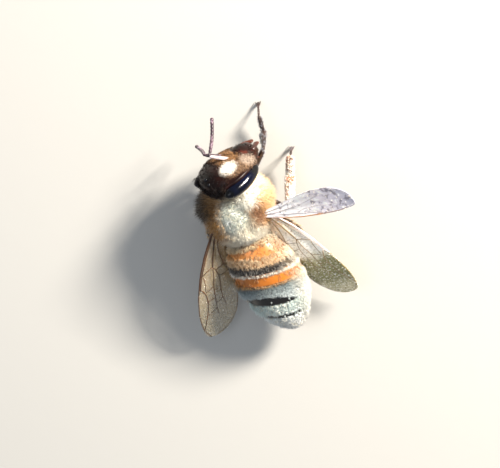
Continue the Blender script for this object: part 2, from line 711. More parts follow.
def buildVeins(name):
    parts = []
    for width, stops in (foreVeins if "fore" in name else hindVeins):
        stops = np.array(stops)
        spans = np.diff(stops, axis=0) * (veinShape["aspect"], 1)
        reach = np.concatenate([[0], np.cumsum(np.hypot(*spans.T))])
        steps = np.linspace(0, reach[-1], max(veinShape["least"], int(reach[-1] * veinShape["steps"])))
        part, across = (np.interp(steps, reach, column) for column in stops.T)
        for _ in range(2):                                  # soften the corners
            part[1:-1] = (part[:-2] + 2 * part[1:-1] + part[2:]) / 4
            across[1:-1] = (across[:-2] + 2 * across[1:-1] + across[2:]) / 4
        path = [Vector(point) for point in wingPoint(wings[name], np.clip(part, 0.004, 0.996), across)]
        flat = (path[-1] - path[0]).orthogonal()
        thin = [width * (1 - veinShape["taper"] * stop) for stop in np.clip(part, 0, 1)]
        parts.append(tube("vein", ovalRings(path, thin, thin, flat), veinShape["sides"], 0))
    return joined(name + "_veins", parts)


# Legs.

legShape = dict(                                            # half widths, and how flat the lower leg is
    fore=dict(femur=0.25, tibia=0.28, basitarsus=0.17, tarsus=0.085, flat=0.75),
    mid=dict(femur=0.27, tibia=0.27, basitarsus=0.20, tarsus=0.09, flat=0.75),
    hind=dict(femur=0.27, tibia=0.46, basitarsus=0.40, tarsus=0.10, flat=0.42))
# Stops of each length: part of the way, then a half width in millimetres and a share of the leg's own.
limbStops = dict(
    coxa=((0, 0.34, 0), (0.3, 0.36, 0), (0.75, 0.28, 0), (1.0, 0.16, 0)),
    trochanter=((0, 0.14, 0), (0.35, 0.19, 0), (0.8, 0.18, 0), (1.0, 0.12, 0)),
    femur=((0, 0.12, 0), (0.06, 0, 0.62), (0.3, 0, 1), (0.6, 0, 0.96), (0.85, 0, 0.74), (0.95, 0, 0.72),
           (1.0, 0.10, 0)),
    tibia=((0, 0.08, 0), (0.03, 0.14, 0), (0.09, 0.15, 0), (0.16, 0.13, 0), (0.35, 0.06, 0.5),
           (0.65, 0, 0.86), (0.88, 0, 1), (0.97, 0, 0.92), (1.0, 0, 0.4)),
    basitarsus=((0, 0.06, 0), (0.04, 0, 0.6), (0.15, 0, 0.95), (0.5, 0, 1), (0.85, 0, 0.9), (0.97, 0, 0.6),
                (1.0, 0.05, 0)),
    tarsus=((0, 0, 0.35), (0.12, 0, 0.7), (0.7, 0, 1), (0.93, 0, 1.15), (1.0, 0, 0.4)))
limbShape = dict(thick=0.9, hipEnd=0.16, femurStart=0.12, femurBow=0.04, tibiaBow=-0.03, sides=14)
footShape = dict(
    knuckle=0.22, knuckleRise=0.17, joints=(0, 0.30, 0.52, 0.70, 1.0), floor=0.02, endShare=0.18,
    claw=dict(root=0.05, ahead=(0.05, 0.10), aside=(0.16, 0.17), rise=(0.10, 0.015), arch=(0.05, 0.02),
              halves=(0.045, 0.045, 0.032, 0.008), sides=8),
    pad=dict(start=(0.1, 0.45), rise=(0.05, 0.012), halves=(0.05, 0.08, 0.11, 0.07), sides=12))
legPieces = ("coxa", "femur", "tibia", "basitarsus", "tarsus")


def legNodes(leg):
    return ["leg_%s_%s" % (leg, piece) for piece in legPieces]


def nodePoints(name):
    return pointsOf(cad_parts[name]) / mm


def limbEnds(name):
    # Both ends of a straight limb of the frame, along its longest direction.
    points = np.unique(np.round(nodePoints(name), 4), axis=0)
    middle = points.mean(axis=0)
    along = np.linalg.svd(points - middle)[2][0]
    reach = (points - middle) @ along
    low, high = reach.min(), reach.max()
    share = footShape["endShare"] * (high - low)
    ends = []
    for edge, inside in ((low, reach < low + share), (high, reach > high - share)):
        spot = points[inside].mean(axis=0)
        ends.append(Vector(spot + along * (edge - (spot - middle) @ along)))
    return ends


def legJoints(leg):
    pieces = [limbEnds(name) for name in legNodes(leg)]
    joints = []
    for first, second in zip(pieces, pieces[1:]):
        pairs = [((a - b).length, a, b) for a in first for b in second]
        _, a, b = min(pairs, key=lambda pair: pair[0])
        joints.append((a + b) / 2)
    hip = max(pieces[0], key=lambda end: (end - joints[0]).length)
    foot = nodePoints("leg_%s_tarsus" % leg)
    toe = Vector(foot[foot[:, 2] < footShape["floor"]].mean(axis=0))
    return [hip] + joints + [toe]


def buildFoot(knuckle, toe, way):
    # Two claws hook forward and down beside a soft pad.
    across = way.cross(Vector((0, 0, 1)))
    up = Vector((0, 0, 1))
    claw, pad = footShape["claw"], footShape["pad"]
    parts = []
    for side in (1, -1):
        start = knuckle + across * side * claw["root"]
        bend, end = (toe + way * ahead + across * side * aside + up * rise
                     for ahead, aside, rise in zip(claw["ahead"], claw["aside"], claw["rise"]))
        path = [start, start.lerp(bend, 0.4) + up * claw["arch"][0], bend + up * claw["arch"][1], end]
        parts.append(tube("claw", ovalRings(path, claw["halves"], claw["halves"], across), claw["sides"], 1))
    path = [knuckle.lerp(toe, part) for part in pad["start"]]
    path += [Vector((toe.x, toe.y, rise)) for rise in pad["rise"]]
    return parts + [tube("pad", ovalRings(path, pad["halves"], pad["halves"], way), pad["sides"], 1)]


def buildLeg(leg):
    hip, coxa, knee, heel, ankle, toe = legJoints(leg)
    size = legShape[leg.split("_")[0]]
    flat = (knee - coxa).cross(heel - knee).normalized()
    thick = limbShape["thick"]
    knuckle = toe.lerp(ankle, footShape["knuckle"]) + Vector((0, 0, footShape["knuckleRise"]))
    joints = [ankle.lerp(knuckle, part) for part in footShape["joints"]]
    lengths = [("coxa", hip, coxa, thick, 0.0),
               ("trochanter", coxa, coxa.lerp(knee, limbShape["hipEnd"]), thick + 0.05, 0.0),
               ("femur", coxa.lerp(knee, limbShape["femurStart"]), knee, thick, limbShape["femurBow"]),
               ("tibia", knee, heel, size["flat"], limbShape["tibiaBow"]),
               ("basitarsus", heel, ankle, size["flat"] + 0.12, 0.0)]
    lengths += [("tarsus", start, end, thick, 0.0) for start, end in zip(joints, joints[1:])]
    parts = []
    for name, start, end, thickness, bow in lengths:
        stops = limbStops[name]
        path = curved(start, end, flat.cross(end - start).normalized() * bow, [stop[0] for stop in stops])
        halves = [fixed + share * size.get(name, 0) for _, fixed, share in stops]
        depths = [half * thickness for half in halves]
        parts.append(tube(name, ovalRings(path, halves, depths, flat), limbShape["sides"], 1))
    way = Vector((toe.x - ankle.x, toe.y - ankle.y, 0)).normalized()
    return joined("leg_" + leg, parts + buildFoot(knuckle, toe, way))


# Markings, which the skins and their coats share.

def mapRange(made, value, low, high, start=0.0, end=1.0):
    ends = {"From Min": low, "From Max": high, "To Min": start, "To Max": end}
    return addNode(made, "MapRange", {"Value": value, **ends}).outputs["Result"]


def mixColour(made, factor, under, over):
    return addNode(made, "Mix", {0: factor, 6: under, 7: over}, data_type="RGBA").outputs[2]


def ramp(made, value, stops):
    return addNode(made, "ValToRGB", {"Fac": value}, stops).outputs["Color"]


def toned(made, colour, value):
    return addNode(made, "HueSaturation", {"Color": colour, "Value": value}).outputs["Color"]


def vectorMath(made, operation, *values):
    node = addNode(made, "VectorMath", dict(enumerate(values)), operation=operation)
    return node.outputs["Value" if operation == "LENGTH" else "Vector"]


def placeOf(made, name="place"):
    return addNode(made, "Attribute", attribute_name=name).outputs["Vector"]


def splitOf(made, vector):
    return addNode(made, "SeparateXYZ", {"Vector": vector}).outputs


def placeVector(made, wobble, scale):
    # Where the point lies on its region, in millimetres, pushed about a little so no edge is ruled.
    place = placeOf(made)
    noise = addNode(made, "TexNoise", {"Scale": scale, "Detail": 3.0, "Vector": place})
    centred = vectorMath(made, "SUBTRACT", noise.outputs["Color"], (0.5, 0.5, 0.5))
    return vectorMath(made, "MULTIPLY_ADD", centred, (wobble,) * 3, place)


def patchMask(made, vector, centre, size, soft):
    # 1 inside a soft oval, 0 outside.
    scaled = vectorMath(made, "DIVIDE", vectorMath(made, "SUBTRACT", vector, centre), size)
    return mapRange(made, vectorMath(made, "LENGTH", scaled), 1 + soft, 1 - soft)


def paintPatches(made, marks):
    vector, colour = placeVector(made, marks["wobble"], marks["scale"]), marks["base"]
    for hexColour, centre, size, soft in marks["patches"]:
        colour = mixColour(made, patchMask(made, vector, centre, size, soft), colour, hexColour)
    return colour


# The patches are ovals on the axes of the bee or of its head: colour, centre, half sizes and softness.
thoraxMarks = dict(base="#C08E54", wobble=0.3, scale=2.2, patches=(
    ("#C8965A", (-2.0, -0.4, 0.4), (1.1, 1.5, 1.6), 0.4),       # golden right side
    ("#C9A67C", (-2.1, -1.4, -0.1), (1.1, 1.4, 1.4), 0.4),      # paler low on the right
    ("#AE7C34", (1.7, -0.1, 0.7), (0.9, 1.7, 1.5), 0.4),        # golden brown left side
    ("#3C2C14", (1.8, -1.4, 0.3), (0.9, 0.9, 1.3), 0.4),        # darkest beside the head
    ("#E6D0A8", (-1.1, -1.75, 0.7), (1.7, 0.50, 1.7), 0.35),    # cream collar
    ("#F6EAD0", (-0.1, 1.05, 1.1), (1.5, 0.75, 1.0), 0.35),     # pale rear
    ("#8A6040", (-1.15, -0.40, 1.5), (0.34, 0.70, 0.8), 0.5),   # brown stripe right of the patch
    ("#F6F2E6", (-0.75, -1.30, 1.5), (0.55, 0.45, 0.8), 0.35),  # white between the patch and the eye
    ("#CBD2C8", (0.18, -0.55, 1.8), (0.92, 1.25, 1.0), 0.25),   # dusted middle of the back
    ("#F8F0DC", (-0.35, 0.75, 1.7), (0.85, 0.70, 0.9), 0.35)))  # cream in front of the scutellum
headMarks = dict(base="#3A2418", wobble=0.15, scale=3.5, patches=(
    ("#6E5238", (0.0, 0.9, 0.6), (2.2, 0.9, 1.6), 0.3),         # back of the head
    ("#33260F", (1.6, 0.6, 0.4), (0.9, 1.0, 2.0), 0.3),         # dark olive behind the left eye
    ("#8E6844", (0.1, -1.05, 0.10), (1.10, 0.5, 0.75), 0.3),    # tan fuzz between the eyes
    ("#8A6E56", (-1.25, -0.75, 0.0), (0.36, 0.60, 1.10), 0.3),  # and beside the right eye
    ("#AE9C8C", (-1.05, -0.85, -0.72), (0.42, 0.50, 0.46), 0.3),    # dusty fuzz below that
    ("#1C100B", (-0.25, -1.15, -1.05), (0.80, 0.5, 0.50), 0.3),     # bare, dark clypeus
    ("#1A0A06", (0.45, -0.30, 1.45), (1.90, 1.40, 0.78), 0.2),  # nearly black crown
    ("#FCF6EC", (-0.85, -0.86, 0.56), (0.40, 0.6, 0.50), 0.35), # pollen on the brow
    ("#F2E4CA", (-1.5, 0.75, -0.2), (0.9, 0.6, 1.7), 0.3)))     # pale cheek behind the right eye
# The bands lie along the abdomen in millimetres; flank holds where the side pales, and how much.
bandMarks = dict(wobble=0.05, scale=3.0, length=7.0, flank=(0.50, 0.90, 0.0, 0.6))
skinBands = ((0.0, "#5E3A1A"), (0.30, "#8A5224"), (0.40, "#B26C2C"), (0.80, "#AE7034"), (1.50, "#A06A34"),
             (1.60, "#17110D"), (2.06, "#17110D"), (2.12, "#B0661E"), (2.82, "#A9601A"), (2.93, "#7A5024"),
             (3.05, "#2F2C2A"), (3.74, "#26221F"), (3.80, "#0B0908"), (4.40, "#0B0908"), (4.50, "#767C76"),
             (5.30, "#767C76"), (5.35, "#0B0908"), (5.58, "#0B0908"), (5.66, "#8A908A"))
coatBands = ((0.0, "#E6DABE"), (0.32, "#D9B98A"), (0.42, "#DB9A56"), (0.82, "#DA9E5C"), (0.94, "#F0D0A6"),
             (1.48, "#E6C49A"), (1.60, "#5A5148"), (2.00, "#8B857C"), (2.10, "#FFF8EC"), (2.22, "#F2D6A8"),
             (2.30, "#D08A40"), (2.84, "#CC8A44"), (2.95, "#B89A74"), (3.10, "#7E8C8E"), (3.60, "#BCC8CA"),
             (3.95, "#DCE4E4"), (4.42, "#D6E6E2"), (5.36, "#EEFAF6"), (5.62, "#FAFFFD"), (6.85, "#FFFFFF"))


def bandColour(made, bands, pale):
    # The bands run along the abdomen, and the flank pales on the bee's right, which the pollen bleaches.
    split = splitOf(made, placeVector(made, bandMarks["wobble"], bandMarks["scale"]))
    length = bandMarks["length"]
    stops = [(stop / length, colour) for stop, colour in bands]
    banded = ramp(made, mapRange(made, split["Y"], 0.0, length), stops)
    return mixColour(made, mapRange(made, split["X"], *bandMarks["flank"]), banded, pale)


hairLook = dict(Roughness=0.55, IOR=1.5, Sheen_Weight=0.25, Sheen_Roughness=0.4)


def coatMaterial(name, paint, shade=(0.40, 1.2), tones=(0.68, 1.25), **sockets):
    # Hair is pale and glassy, so a tuft brightens from its shaded root to its tip.
    made = newMaterial(name, **{**hairLook, **sockets})
    colour = paint(made)
    parts = splitOf(made, placeOf(made, "strand"))
    tip = mapRange(made, parts["Y"], 0.0, 1.0, *shade)
    tone = mapRange(made, parts["X"], 0.0, 1.0, *tones)
    value = addNode(made, "Math", {0: tip, 1: tone}, operation="MULTIPLY").outputs["Value"]
    feed(made, "Base Color", toned(made, colour, value))
    return made


# Coats: tufts of tapered three-sided hairs, grown as one mesh from arrays.

def skinArrays(skins):
    points, normals, triangles, before = [], [], [], 0
    for skin in skins:
        mesh = skin.data
        mesh.calc_loop_triangles()
        corners = np.empty(len(mesh.loop_triangles) * 3, np.int32)
        mesh.loop_triangles.foreach_get("vertices", corners)
        ways = np.empty(len(mesh.vertices) * 3, np.float32)
        mesh.vertex_normals.foreach_get("vector", ways)
        points.append(pointsOf(skin) / mm)
        normals.append(ways.reshape(-1, 3).astype(float))
        triangles.append(corners.reshape(-1, 3) + before)
        before += len(mesh.vertices)
    return np.concatenate(points), np.concatenate(normals), np.concatenate(triangles)


def scatter(skins, count, rng, placesOf, keep):
    # Roots spread by area; keep gives the chance, 0 to 1, that one at a place stays.
    points, normals, triangles = skinArrays(skins)
    corner = points[triangles]
    area = np.linalg.norm(np.cross(corner[:, 1] - corner[:, 0], corner[:, 2] - corner[:, 0]), axis=1)
    found = []
    while sum(len(batch[0]) for batch in found) < count:
        chosen = rng.choice(len(triangles), count, p=area / area.sum())
        first, second = np.sort(rng.random((2, count)), axis=0)
        weights = np.stack([first, second - first, 1 - second], axis=1)[:, :, None]
        roots = (corner[chosen] * weights).sum(axis=1)
        ways = (normals[triangles[chosen]] * weights).sum(axis=1)
        places = placesOf(roots)
        stay = rng.random(count) < keep(places)
        found.append((roots[stay], ways[stay], places[stay]))
    roots, ways, places = (np.concatenate(part)[:count] for part in zip(*found))
    return roots, ways / np.linalg.norm(ways, axis=1, keepdims=True), places


def meshFromArrays(name, points, faces):
    mesh = bpy.data.meshes.new(name)
    mesh.vertices.add(len(points))
    mesh.vertices.foreach_set("co", np.asarray(points, np.float32).ravel())
    mesh.loops.add(faces.size)
    mesh.loops.foreach_set("vertex_index", faces.astype(np.int32).ravel())
    mesh.polygons.add(len(faces))
    mesh.polygons.foreach_set("loop_start", np.arange(0, faces.size, faces.shape[1], dtype=np.int32))
    mesh.polygons.foreach_set("use_smooth", np.ones(len(faces), bool))
    mesh.update(calc_edges=True)
    obj = bpy.data.objects.new(name, mesh)
    bpy.context.scene.collection.objects.link(obj)
    return obj


mapShape = dict(margin=0.003, hair=0.0003, spread=0.0012, grain=0.0012)


def mapPatches(obj, centres, corners, faces):
    # One small patch of the bake map for each hair or grain, where its root lies on the unrolled skin.
    flat = np.clip(centres, mapShape["margin"], 1 - mapShape["margin"])[:, None, :] + corners[None]
    layer = obj.data.uv_layers.new(name="OFBake")
    layer.data.foreach_set("uv", flat.reshape(-1, 2)[faces.ravel()].astype(np.float32).ravel())


def perTuft(value, places):
    return value(places) if callable(value) else np.full(len(places), float(value))


hairFaces = np.array([(0, 1, 4), (0, 4, 3), (1, 2, 5), (1, 5, 4), (2, 0, 3), (2, 3, 5), (3, 4, 6), (4, 5, 6),
                      (5, 3, 6), (0, 2, 1)])
hairPatch = np.array([(-1, -1), (1, -1), (0, 1), (-1, 0), (1, 0), (0, 1), (0, 0)]) * mapShape["hair"]
# What a coat has unless its own dictionary says otherwise. A tuft strays from the lie and lifts unevenly, its
# hairs bend halfway and part, and each is sunk into the skin and narrows at its middle.
hairShape = dict(stray=0.35, bend=0.6, loose=0.18, liftSpread=0.14, lifts=(0.05, 1.5), lengths=(0.65, 1.15),
                 widths=(0.8, 1.2), sunk=0.02, parting=1.3, middle=0.85, shared=0.6, middleTone=0.55)


def growCoat(name, skins, shape, made, slotName="body_hair"):
    shape = {**hairShape, **shape}
    rng = np.random.default_rng(shape["seed"])
    tufts = shape["count"] // shape["inTuft"]
    roots, normals, places = scatter(skins, tufts, rng, shape["places"], shape["keep"])
    lie = shape["lie"](places)
    lie = unit(lie - normals * (lie * normals).sum(axis=1, keepdims=True))
    across = np.cross(normals, lie)
    turn = rng.normal(0, shape["stray"], tufts)
    lie = unit(lie * np.cos(turn)[:, None] + across * np.sin(turn)[:, None])
    across = np.cross(normals, lie)
    lift = perTuft(shape["lift"], places) + rng.normal(0, shape["liftSpread"], tufts)
    lift = np.clip(lift, *shape["lifts"])
    tone = rng.random(tufts)

    each = np.repeat(np.arange(tufts), shape["inTuft"])
    total = len(each)
    offset = rng.normal(0, shape["tuft"], (total, 2))
    root = roots[each] + lie[each] * offset[:, :1] + across[each] * offset[:, 1:]
    root = root - normals[each] * shape["sunk"]
    length = (perTuft(shape["length"], places)[each] * rng.uniform(*shape["lengths"], total))[:, None]
    rise, fall = lift[each][:, None], (lift[each] * shape["bend"])[:, None]
    loose = rng.normal(0, shape["loose"], (total, 3))
    first = unit(lie[each] * np.cos(rise) + normals[each] * np.sin(rise) + loose)
    second = unit(lie[each] * np.cos(fall) + normals[each] * np.sin(fall) + loose * shape["parting"])
    middle = root + first * length * 0.5
    side = unit(np.cross(first, normals[each] + lie[each] * 0.01))
    up = np.cross(first, side)
    wide = shape["width"] * rng.uniform(*shape["widths"], (total, 1))
    rows = []
    for centre, swell in ((root, 1.0), (middle, shape["middle"])):
        for corner in range(3):
            angle = 2 * pi * corner / 3
            rows.append(centre + (side * cos(angle) + up * sin(angle)) * wide * swell)
    rows.append(middle + second * length * 0.5)
    rowCount = len(rows)
    faces = (hairFaces[None] + (np.arange(total) * rowCount)[:, None, None]).reshape(-1, 3)
    coat = meshFromArrays(name, np.stack(rows, axis=1).reshape(-1, 3), faces)
    keepPlaces(coat, np.repeat(places[each], rowCount, axis=0))
    strand = np.zeros((total, rowCount, 3))         # its tone, and how far up the hair the point lies
    strand[:, :, 0] = (tone[each] * shape["shared"] + rng.random(total) * (1 - shape["shared"]))[:, None]
    strand[:, 3:6, 1], strand[:, 6, 1] = shape["middleTone"], 1.0
    keepPlaces(coat, strand.reshape(-1, 3), "strand")
    spread = rng.uniform(-mapShape["spread"], mapShape["spread"], (total, 2))
    mapPatches(coat, shape["unroll"](places)[each] + spread, hairPatch, faces)
    print(name, total, "hairs")
    return settle(coat, made, slotName)


def unrolled(side, front, along, low, high):
    # Round a region by along it, as parts of one.
    return np.stack([0.5 + np.arctan2(side, front) / (2 * pi), (along - low) / (high - low)], axis=1)


def unrollBarrel(places):
    return unrolled(places[:, 0], places[:, 2], places[:, 1], -2.2, 7.2)


def unrollHead(places):
    return unrolled(places[:, 0], -places[:, 1], places[:, 2], -2.1, 2.1)


def unrollSheet(places):
    return places[:, :2] * 0.98 + 0.01


# Pollen: twenty-faced grains in one mesh.

grainSquash = (0.8, 1.2)


def sprinkle(name, skins, shape):
    rng = np.random.default_rng(shape["seed"])
    roots, normals, places = scatter(skins, shape["count"], rng, shape["places"], shape["keep"])
    pattern = added(bpy.ops.mesh.primitive_ico_sphere_add, subdivisions=1, radius=1)
    ball = pointsOf(pattern)
    ballFaces = np.array([polygon.vertices[:] for polygon in pattern.data.polygons])
    bpy.data.objects.remove(pattern)
    total = len(roots)
    size = rng.uniform(*shape["sizes"], (total, 1, 1)) * rng.uniform(*grainSquash, (total, 1, 3))
    centres = roots + normals * perTuft(shape["height"], places)[:, None]
    points = centres[:, None, :] + ball[None] * size
    faces = (ballFaces[None] + (np.arange(total) * len(ball))[:, None, None]).reshape(-1, 3)
    grains = meshFromArrays(name, points.reshape(-1, 3), faces)
    mapPatches(grains, shape["unroll"](places), ball[:, :2] * mapShape["grain"], faces)
    print(name, total, "grains")
    return settle(grains, pollenWax, "leg_pollen")


# Materials.

def objectNoise(made, scale, detail=4.0):
    # A pattern fixed to the piece; the scale counts in metres, so 1000 is one wave a millimetre.
    spots = addNode(made, "TexCoord").outputs["Object"]
    return addNode(made, "TexNoise", {"Scale": scale, "Detail": detail, "Vector": spots}).outputs["Fac"]


def bumped(made, height, strength, depth=0.00001):
    bump = addNode(made, "Bump", {"Strength": strength, "Distance": depth, "Height": height})
    feed(made, "Normal", bump.outputs["Normal"])


def pitted(made, scale, strength):
    spots = addNode(made, "TexCoord").outputs["Object"]
    bumped(made, addNode(made, "TexVoronoi", {"Scale": scale, "Vector": spots}).outputs["Distance"], strength)


def tinted(name, tint, pits=None, **sockets):
    # One tissue: tint holds a noise scale and its colour stops, pits a scale and a strength.
    made = newMaterial(name, **sockets)
    feed(made, "Base Color", ramp(made, objectNoise(made, tint[0]), tint[1:]))
    if pits:
        pitted(made, *pits)
    return made


# Upper lip: hard dark chitin, smooth and finely pitted, which gives small warm glints.
headChitin = tinted("Dark chitin of the head",
                    (900.0, (0.35, "#120805"), (0.62, "#2E120C"), (0.75, "#542818")), (16000.0, 0.35),
                    Roughness=0.30, IOR=1.56)
# Compound and simple eyes: a bead of clear lenses over black pigment; the lenses are drawn coarser than life.
eyeLens = tinted("Faceted lens cuticle", (600.0, (0.4, "#020204"), (0.6, "#050A20")), (14000.0, 0.4),
                 Roughness=0.14, IOR=1.42, Specular_IOR_Level=0.35)
# Feelers: matt chitin under a felt of sense hairs, so they look dusty pink-brown in strong light.
feelerChitin = tinted("Felted chitin of the feelers",
                      (2600.0, (0.35, "#20131E"), (0.55, "#4A303E"), (0.7, "#9A8496")), (30000.0, 0.4),
                      Roughness=0.40, IOR=1.5, Sheen_Weight=0.35, Sheen_Roughness=0.4)
# The right feeler's long first joint: polished and dusted pale, so it catches the light along its length.
scapeChitin = tinted("Polished chitin of the scape",
                     (1800.0, (0.3, "#7A686A"), (0.5, "#C4B4B6"), (0.68, "#EFE6E8")), (26000.0, 0.35),
                     Roughness=0.3, IOR=1.56, Coat_Weight=0.5)
# Mouthparts: thin chitin, red-brown where the light comes through.
jawChitin = tinted("Red-brown chitin of the jaws", (1200.0, (0.35, "#2E120A"), (0.65, "#5E2A16")),
                   Roughness=0.3, IOR=1.56)

# Crown and face: dark chitin with the coat's markings showing through, as dust lies between the hairs.
faceChitin = newMaterial("Dusted chitin of the face", Roughness=0.28, IOR=1.56, Specular_IOR_Level=0.15)
grain = ramp(faceChitin, objectNoise(faceChitin, 900.0),
             ((0.35, "#0C0504"), (0.60, "#200D09"), (0.72, "#4A2016")))
dust = addNode(faceChitin, "SeparateColor", {"Color": paintPatches(faceChitin, headMarks)})
dusted = mapRange(faceChitin, dust.outputs["Red"], 0.06, 0.6, 0.0, 0.8)     # only the pale marks show through
feed(faceChitin, "Base Color", mixColour(faceChitin, dusted, grain, paintPatches(faceChitin, headMarks)))
pitted(faceChitin, 16000.0, 0.35)

# Thorax shell: dull chitin with the coat's own markings, darkened, as it only shows between hairs.
thoraxChitin = newMaterial("Chitin under the pile", Roughness=0.75)
painted = paintPatches(thoraxChitin, thoraxMarks)
feed(thoraxChitin, "Base Color", mixColour(thoraxChitin, 0.40, painted, "#2A1E12"))

# Back plates: polished chitin with a pit for each hair, amber in front and black behind.
plateChitin = newMaterial("Banded chitin", Roughness=0.32, IOR=1.55)
banded = bandColour(plateChitin, skinBands, "#7A6A54")
mottle = mapRange(plateChitin, objectNoise(plateChitin, 1500.0), 0.3, 0.7, 0.78, 1.15)
feed(plateChitin, "Base Color", toned(plateChitin, banded, mottle))
pitted(plateChitin, 12000.0, 0.3)


def mottled(scale, low, high, *ends):
    # Hair of two colours, mixed by a noise; the ends sharpen it.
    def paint(made):
        noise = objectNoise(made, scale)
        return mixColour(made, mapRange(made, noise, *ends) if ends else noise, low, high)
    return paint


# Hair: pale glassy strands, which soften the outline and glow at their tips. Branched and golden to
# cream on the thorax, short and nearly matt on the face, in even bands on the abdomen.
thoraxHair = coatMaterial("Branched hair of the thorax", lambda made: paintPatches(made, thoraxMarks))
headHair = coatMaterial("Short hair of the face", lambda made: paintPatches(made, headMarks),
                        Specular_IOR_Level=0.12, Sheen_Weight=0.08)
bandHair = coatMaterial("Hair of the bands", lambda made: bandColour(made, coatBands, "#FFF6E4"))
# On the legs it is golden, grey with dust on the fore pair, and white where pollen fills it.
legHair = coatMaterial("Golden hair of the legs", mottled(900.0, "#8A6236", "#E2C79A"))
greyHair = coatMaterial("Dusty hair of the fore legs", mottled(900.0, "#4A4854", "#BCC0CC"))
pollenHair = coatMaterial("Hair full of pollen", mottled(2200.0, "#D89C7C", "#FFFFFC", 0.35, 0.6),
                          shade=(0.6, 1.2))

# Pollen: waxy grains, pale and matt, each a little different.
pollenWax = tinted("Waxy pollen grains", (2500.0, (0.35, "#D8CFB4"), (0.55, "#F6F2E6"), (0.7, "#FFFFFF")),
                   Roughness=0.7, IOR=1.45)

# Wings: a clear double film of chitin, tan to olive, with a satin gloss. The fine hairs on it
# catch the light one by one, so it sparkles; they are drawn coarser than life.
filmLook = dict(Roughness=0.24, IOR=1.56, Subsurface_Weight=0.7, Subsurface_Scale=0.00005,
                Subsurface_Radius=(1.0, 0.95, 0.85), Sheen_Weight=0.9, Sheen_Roughness=0.3)
filmShape = dict(cloud=(500.0, 0.30), zones=(0.15, 1.15), bright=(0.56, 0.66), dim=(0.46, 0.36), bump=0.35)


def wingFilm(name, zones, sparkle, dark, alpha, fine=9000.0, shadow="#3C3A34"):
    made = newMaterial(name, Alpha=alpha, **filmLook)
    along = splitOf(made, placeOf(made))["X"]
    scale, push = filmShape["cloud"]
    cloud = objectNoise(made, scale)
    shifted = addNode(made, "Math", {0: cloud, 1: push, 2: along}, operation="MULTIPLY_ADD").outputs["Value"]
    zone = ramp(made, mapRange(made, shifted, *filmShape["zones"]), zones)
    specks = objectNoise(made, fine, 3.0)
    bright = mapRange(made, specks, *filmShape["bright"], 0.0, sparkle)
    dim = mapRange(made, specks, *filmShape["dim"], 0.0, dark)
    feed(made, "Base Color", mixColour(made, bright, mixColour(made, dim, zone, shadow), "#FFFFFF"))
    bumped(made, specks, filmShape["bump"])
    return made


wingFilms = dict(
    forewing_right=wingFilm("Olive wing film", (
        (0.0, "#F0BA92"), (0.2, "#FFDEC2"), (0.34, "#FFF6E8"), (0.52, "#FFFCF0"), (0.61, "#9C986A"),
        (0.85, "#8B8856"), (0.95, "#C4BEA0")), 0.7, 0.5, 0.95),
    hindwing_right=wingFilm("Silvery wing film", (
        (0.0, "#FFFFFF"), (0.4, "#FFFAFC"), (0.7, "#E4DEE8"), (0.95, "#C4C4D2")),
        0.95, 0.8, 0.93, 3600.0, "#8E8890"),
    forewing_left=wingFilm("Clear wing film", ((0.0, "#C8B08C"), (0.4, "#B9A582"), (0.9, "#A89A78")),
                           0.25, 0.2, 0.34))
wingFilms["hindwing_left"] = wingFilms["forewing_left"]


# Veins: hollow ribs of brown chitin; on the right wings the pollen and the light make them pale.
def veinChitin(name, low, high, edge, until):
    # The edge colour holds on the leading edge, out to a part of the wing's length.
    made = newMaterial(name, Roughness=0.4, IOR=1.55)
    grain = ramp(made, objectNoise(made, 1500.0), ((0.35, low), (0.65, high)))
    split = splitOf(made, placeOf(made))
    ends = {0: mapRange(made, split["Y"], 0.90, 0.97), 1: mapRange(made, split["X"], until + 0.04, until)}
    rim = addNode(made, "Math", ends, operation="MULTIPLY").outputs["Value"]
    feed(made, "Base Color", mixColour(made, rim, grain, edge))
    return made


veins = dict(
    forewing_right=veinChitin("Pale vein chitin", "#6E5432", "#A88A5E", "#FBE6E0", 0.58),
    hindwing_right=veinChitin("Silvery vein chitin", "#A8A0A2", "#D8D0D2", "#A8703E", 1.2),
    forewing_left=veinChitin("Brown vein chitin", "#2A180C", "#6A4222", "#462A18", 1.2))
veins["hindwing_left"] = veins["forewing_left"]

# Legs: polished dark chitin with reddish edges and a cold shine.
legChitin = tinted("Polished chitin of the legs",
                   (900.0, (0.35, "#150C0B"), (0.55, "#3A2620"), (0.72, "#77707A")), (14000.0, 0.3),
                   Roughness=0.28, IOR=1.56, Coat_Weight=0.4)

# The pieces in place.

keepPlaces(head, headPlaces(pointsOf(head)))
settle(head, faceChitin, "head_cuticle", "head")
settle(buildOcelli(), eyeLens, "compound_eye")
for sideName in sides:
    settle(buildEye(sideName), eyeLens, "compound_eye", "eye_" + sideName)
    scape, lash = buildFeeler(sideName)
    scapeSkin = scapeChitin if sideName == "right" else feelerChitin
    settle(scape, scapeSkin, "feeler", "antenna_%s_scape" % sideName)
    settle(lash, feelerChitin, "feeler", "antenna_%s_flagellum" % sideName)
    settle(buildJaw(sideName), jawChitin, "mouthparts", "mandible_" + sideName)
settle(buildTongue(), jawChitin, "mouthparts", "proboscis")
settle(buildLabrum(), headChitin, "head_cuticle")
print("head in place")

thorax = buildThorax()
keepPlaces(thorax, beePlaces(pointsOf(thorax)))
settle(thorax, thoraxChitin, "body_hair", "thorax", "neck")
settle(buildTegulae(), legChitin, "leg_cuticle")
bandSlots = ("amber_band", "amber_band", "amber_band", "black_band", "dusted_band", "dusted_band")
plates = []
for number, slotName in enumerate(bandSlots, 1):
    plate = buildSegment(number)
    keepPlaces(plate, abdomenPlaces(pointsOf(plate)))
    plates.append(settle(plate, plateChitin, slotName, "abdomen_t%d" % number))
print("body in place")

blades = {}
for name in wings:
    blades[name] = settle(buildBlade(name), wingFilms[name], "wing_membrane", name)
    ribs = buildVeins(name)
    keepPlaces(ribs, wingPlaces(name)(pointsOf(ribs)))
    settle(ribs, veins[name], "wing_membrane", name)
print("wings in place")

